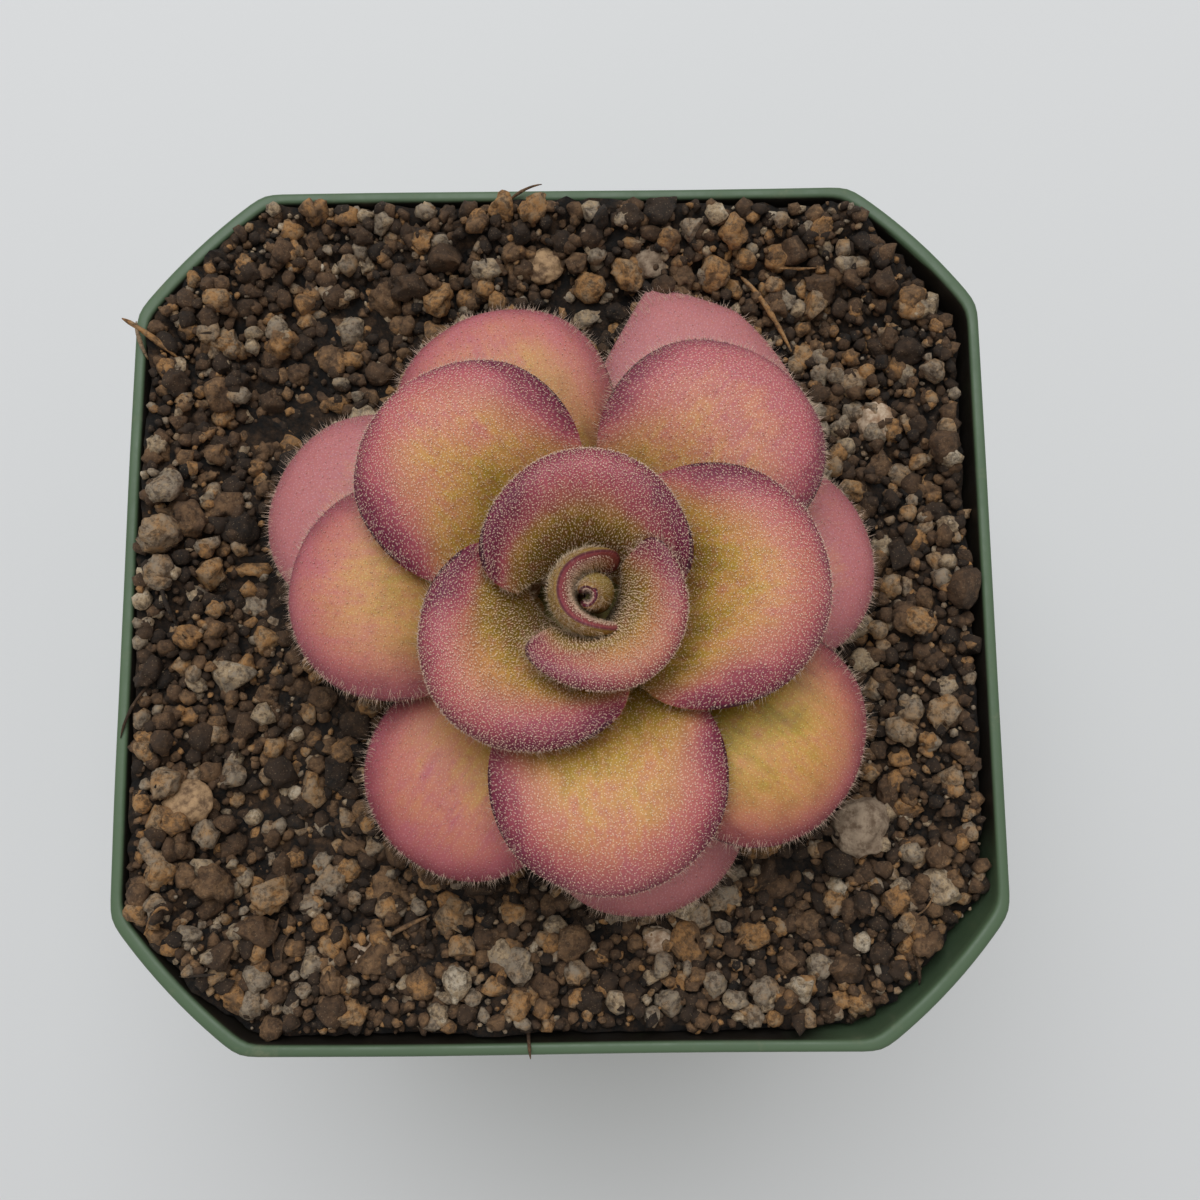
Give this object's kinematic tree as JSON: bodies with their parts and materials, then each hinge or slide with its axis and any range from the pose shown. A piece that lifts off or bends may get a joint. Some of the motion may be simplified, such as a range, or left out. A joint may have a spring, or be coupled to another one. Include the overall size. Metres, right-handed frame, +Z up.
{
  "type": "potted butterwort",
  "caption": "Succulent-leaved butterwort rosette with rolled-down pink leaves, growing in gritty mix in a small square nursery pot with cut corners.",
  "frame": {"origin": "under the middle of the pot, on the surface that it stands on", "axes": "+Z up through the pot's rim and the rosette, +X and +Y square to the pot's sides"},
  "size_m": [0.076, 0.076, 0.0917],
  "materials": {
    "pot_plastic": "satin",
    "soil_mix": "matte",
    "crown_flesh": "satin",
    "root_skin": "matte",
    "leaf_flesh": "satin",
    "grit_pumice": "matte",
    "grit_quartz": "satin",
    "grit_amber": "satin",
    "grit_tan": "matte"
  },
  "bodies": {
    "root": {"pot": "pot_plastic", "soil": "soil_mix", "crown": "crown_flesh", "root_1": "root_skin", "root_2": "root_skin", "root_3": "root_skin", "root_4": "root_skin", "root_5": "root_skin", "leaf_01_bud": "leaf_flesh", "leaf_02_funnel": "leaf_flesh", "leaf_03_cupped": "leaf_flesh", "leaf_04_cupped": "leaf_flesh", "leaf_05_cupped": "leaf_flesh", "leaf_06": "leaf_flesh", "leaf_07": "leaf_flesh", "leaf_08": "leaf_flesh", "leaf_09": "leaf_flesh", "leaf_10": "leaf_flesh", "leaf_11": "leaf_flesh", "leaf_12": "leaf_flesh", "leaf_13": "leaf_flesh", "leaf_14": "leaf_flesh", "leaf_15": "leaf_flesh", "leaf_16": "leaf_flesh", "leaf_17_blunt": "leaf_flesh", "leaf_18_old": "leaf_flesh", "leaf_19_old": "leaf_flesh", "leaf_20_old": "leaf_flesh", "stone_pumice_1": "grit_pumice", "stone_pumice_2": "grit_pumice", "stone_quartz_1": "grit_quartz", "stone_quartz_2": "grit_quartz", "stone_quartz_3": "grit_quartz", "stone_quartz_4": "grit_quartz", "stone_amber_1": "grit_amber", "stone_amber_2": "grit_amber", "stone_tan_1": "grit_tan", "stone_tan_2": "grit_tan"}
  },
  "joints": []
}
